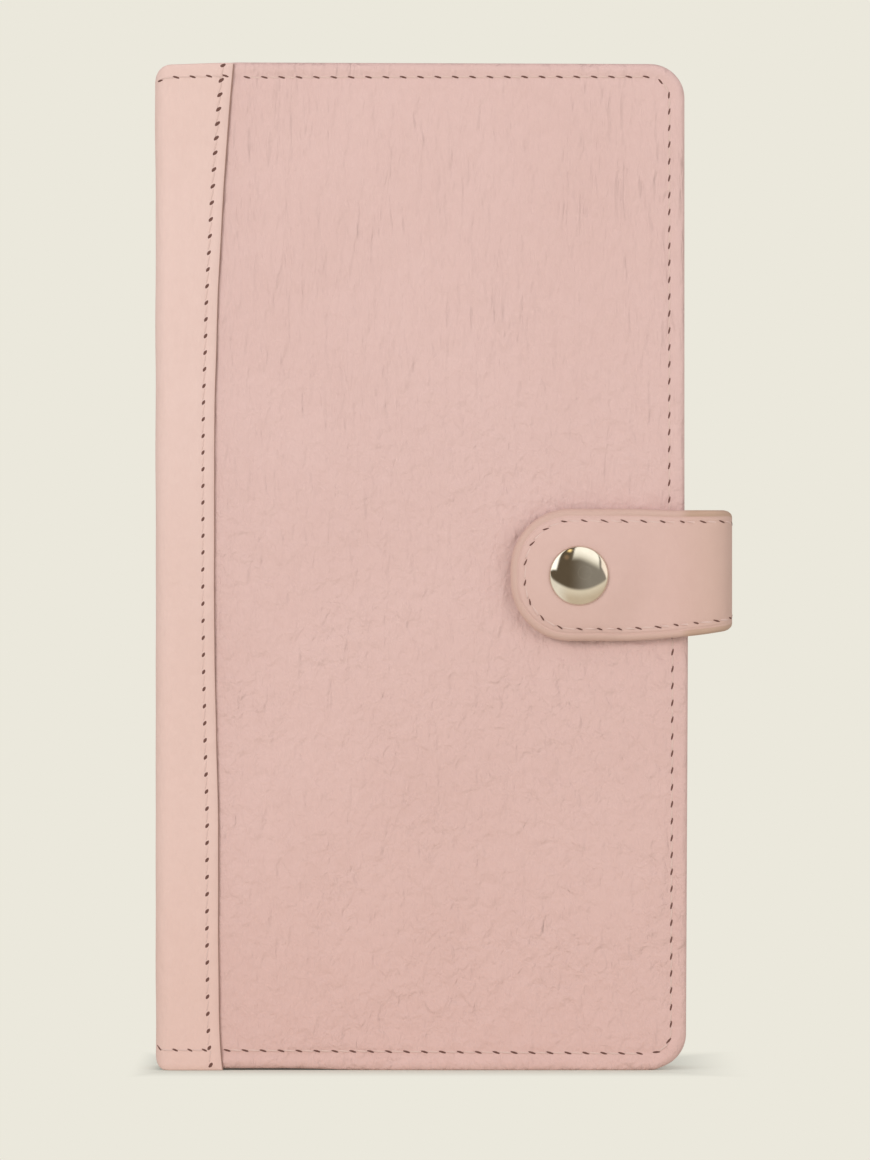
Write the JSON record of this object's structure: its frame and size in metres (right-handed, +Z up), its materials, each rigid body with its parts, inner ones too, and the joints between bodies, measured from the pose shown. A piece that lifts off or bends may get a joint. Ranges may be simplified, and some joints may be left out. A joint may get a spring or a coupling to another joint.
{
  "type": "passport holder",
  "caption": "Long book-like leather passport holder with a lapped spine strip and a snap strap; opens flat to card slots and a raised passport pocket.",
  "frame": {"origin": "middle of the footprint on the standing surface: bottom centre of the whole object's box", "axes": "+Z up along the height; -Y is the outer side of the front cover; the spine is at -X and the free edges at +X"},
  "size_m": [0.1198, 0.0308, 0.21],
  "materials": {
    "cover_leather": "soft pebbled pink leather with fine creases, satin",
    "spine_leather": "the same leather a shade lighter and warmer, satin",
    "strap_leather": "soft pink leather with a turned, burnished rim, satin",
    "strap_lining": "smooth pink lining leather, matt",
    "pocket_leather": "thin smooth pink leather, satin",
    "lining": "thin split leather lining, suede side out, matt",
    "stiffener_board": "pressed leather-fibre board, matt",
    "polished_nickel": "polished warm nickel",
    "nickel": "plated nickel, bright",
    "spring_steel": "drawn spring wire"
  },
  "bodies": {
    "back_cover": {"back_cover_leather": "cover_leather", "back_board": "stiffener_board", "back_lining": "lining", "spine_back_lap": "spine_leather", "ticket_pocket": "pocket_leather", "passport_pocket": "pocket_leather", "strap_anchor": "strap_leather", "strap_anchor_lining": "strap_lining"},
    "spine": {"spine_strip": "spine_leather", "spine_board": "stiffener_board", "spine_lining": "lining", "spine_back_fold": "spine_leather", "spine_front_fold": "spine_leather", "lining_back_turn": "lining", "lining_front_turn": "lining"},
    "front_cover": {"front_cover_leather": "cover_leather", "front_board": "stiffener_board", "front_lining": "lining", "spine_front_lap": "spine_leather", "slip_pocket": "pocket_leather", "card_slot_1": "pocket_leather", "card_slot_2": "pocket_leather", "card_slot_3": "pocket_leather", "card_slot_4": "pocket_leather", "snap_stud": "nickel", "snap_post": "nickel"},
    "strap_side": {"strap_side": "strap_leather", "strap_side_lining": "strap_lining", "strap_back_bend": "strap_leather", "strap_front_bend": "strap_leather"},
    "strap_tongue": {"strap_tongue": "strap_leather", "strap_tongue_lining": "strap_lining", "snap_cap": "polished_nickel", "snap_socket": "nickel", "socket_spring": "spring_steel"}
  },
  "joints": [
    {"name": "spine_turn", "type": "hinge", "parent": "back_cover", "child": "spine", "pos_m": [-0.05861, 0.01281, 0.1046], "axis": [0, 0, -1], "range_deg": [0, 90], "deforming": ["spine_back_fold", "lining_back_turn"]},
    {"name": "cover_turn", "type": "hinge", "parent": "spine", "child": "front_cover", "pos_m": [-0.05861, -0.00701, 0.1046], "axis": [0, 0, -1], "range_deg": [0, 90], "deforming": ["spine_front_fold", "lining_front_turn"]},
    {"name": "strap_swing", "type": "hinge", "parent": "back_cover", "child": "strap_side", "pos_m": [0.05788, 0.01338, 0.1041], "axis": [0, 0, 1], "range_deg": [0, 90], "deforming": ["strap_back_bend"]},
    {"name": "tongue_lift", "type": "hinge", "parent": "strap_side", "child": "strap_tongue", "pos_m": [0.05788, -0.01098, 0.1041], "axis": [0, 0, 1], "range_deg": [0, 90], "deforming": ["strap_front_bend"]}
  ],
  "couplings": [
    {"joint": "cover_turn", "follows": "spine_turn", "ratio": 1},
    {"joint": "tongue_lift", "follows": "strap_swing", "ratio": 1}
  ]
}
